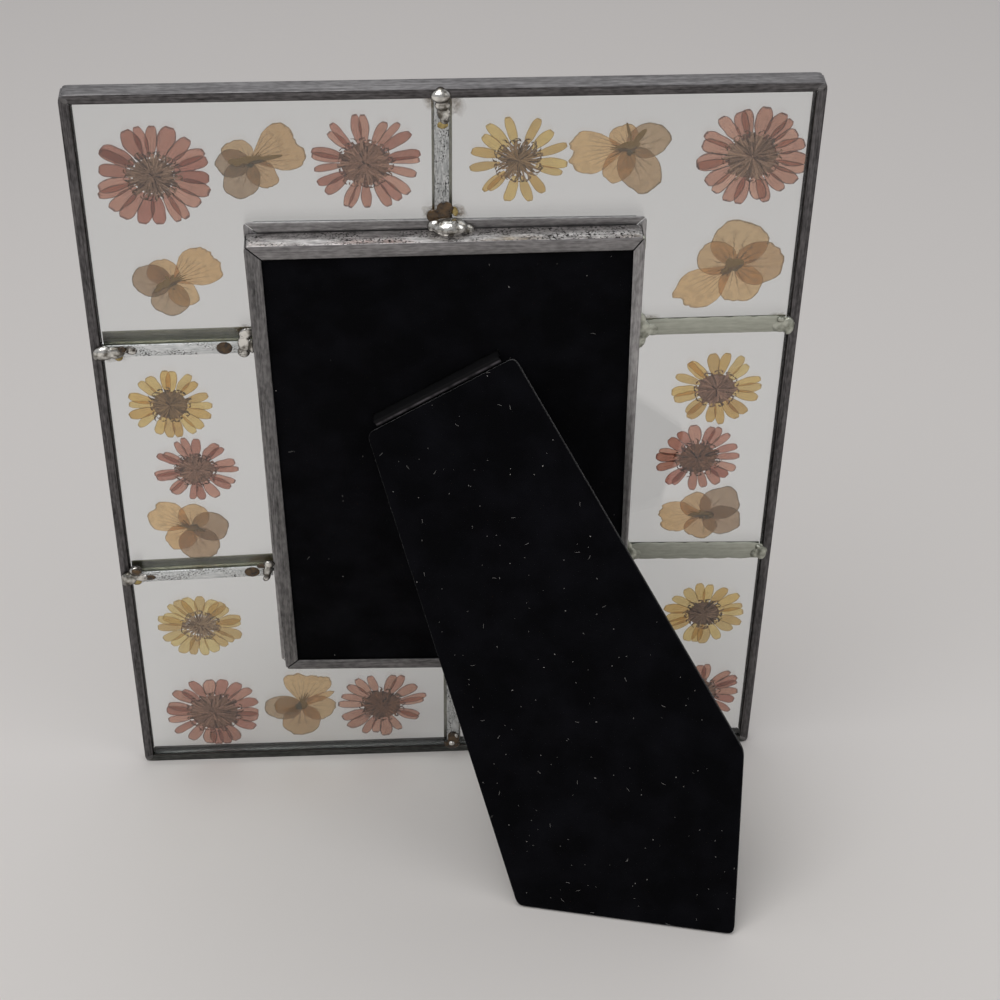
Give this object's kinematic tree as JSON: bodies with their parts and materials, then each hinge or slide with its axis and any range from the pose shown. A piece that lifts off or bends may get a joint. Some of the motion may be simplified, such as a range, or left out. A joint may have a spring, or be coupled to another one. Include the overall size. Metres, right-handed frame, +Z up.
{
  "type": "pressed flower frame",
  "caption": "Leaded-glass picture frame with dried flowers pressed between panes around the opening, a velvet backing board and a folding easel leg.",
  "frame": {"origin": "on the ground, in the middle of the space taken by the leaning frame and its open leg", "axes": "+Z up, +Y towards the side that the flowers and the picture face, so the leg stands out towards -Y, and +X to the right as seen from the leg's side"},
  "size_m": [0.194, 0.1024, 0.2374],
  "materials": {
    "came": "dull grey zinc came with draw marks along it",
    "tinned_bar": "came tinned with solder, flecked with dark flux",
    "glass": "clear sheet glass, faintly green",
    "velvet": "black short-pile velvet over card, with lint",
    "hinge_steel": "black lacquered steel strip",
    "pink_petals": "dry thin petals, dusty rose gone brown",
    "yellow_petals": "dry thin petals, straw yellow",
    "viola_petals": "dry thin petals, tan to mauve brown"
  },
  "bodies": {
    "frame": {"outer_came_top": "came", "outer_came_right": "came", "outer_came_bottom": "came", "outer_came_left": "came", "inner_came_top": "came", "inner_came_right": "came", "inner_came_bottom": "came", "inner_came_left": "came", "bar_top": "tinned_bar", "bar_bottom": "tinned_bar", "bar_left_upper": "tinned_bar", "bar_left_lower": "tinned_bar", "bar_right_upper": "tinned_bar", "bar_right_lower": "tinned_bar", "back_glass_top_left": "glass", "back_glass_top_right": "glass", "back_glass_middle_left": "glass", "back_glass_middle_right": "glass", "back_glass_bottom_left": "glass", "back_glass_bottom_right": "glass", "front_glass_top_left": "glass", "front_glass_top_right": "glass", "front_glass_middle_left": "glass", "front_glass_middle_right": "glass", "front_glass_bottom_left": "glass", "front_glass_bottom_right": "glass", "holder_top": "came", "holder_right": "came", "holder_bottom": "came", "holder_left": "came", "photo_glass": "glass", "backing_board": "velvet", "leg_hinge": "hinge_steel", "daisy_pink_top_left_corner": "pink_petals", "daisy_pink_top_left_inner": "pink_petals", "daisy_yellow_top_right_inner": "yellow_petals", "daisy_pink_top_right_corner": "pink_petals", "daisy_yellow_left_middle": "yellow_petals", "daisy_pink_left_middle": "pink_petals", "daisy_yellow_right_middle": "yellow_petals", "daisy_pink_right_middle": "pink_petals", "daisy_yellow_left_lower": "yellow_petals", "daisy_pink_bottom_left_corner": "pink_petals", "daisy_pink_bottom_left_inner": "pink_petals", "daisy_yellow_right_lower": "yellow_petals", "daisy_pink_bottom_right_corner": "pink_petals", "daisy_pink_bottom_right_inner": "pink_petals", "viola_top_left": "viola_petals", "viola_left_upper": "viola_petals", "viola_top_right": "viola_petals", "viola_right_upper": "viola_petals", "viola_left_middle": "viola_petals", "viola_right_middle": "viola_petals", "viola_bottom_left": "viola_petals", "viola_bottom_right": "viola_petals"},
    "leg": {"easel_leg": "velvet"}
  },
  "joints": [
    {"name": "leg_fold", "type": "hinge", "parent": "frame", "child": "leg", "pos_m": [-0.0022, 0.00534, 0.14555], "axis": [0.8495, -0.1148, 0.5149], "range_deg": [0, 29.4]}
  ]
}
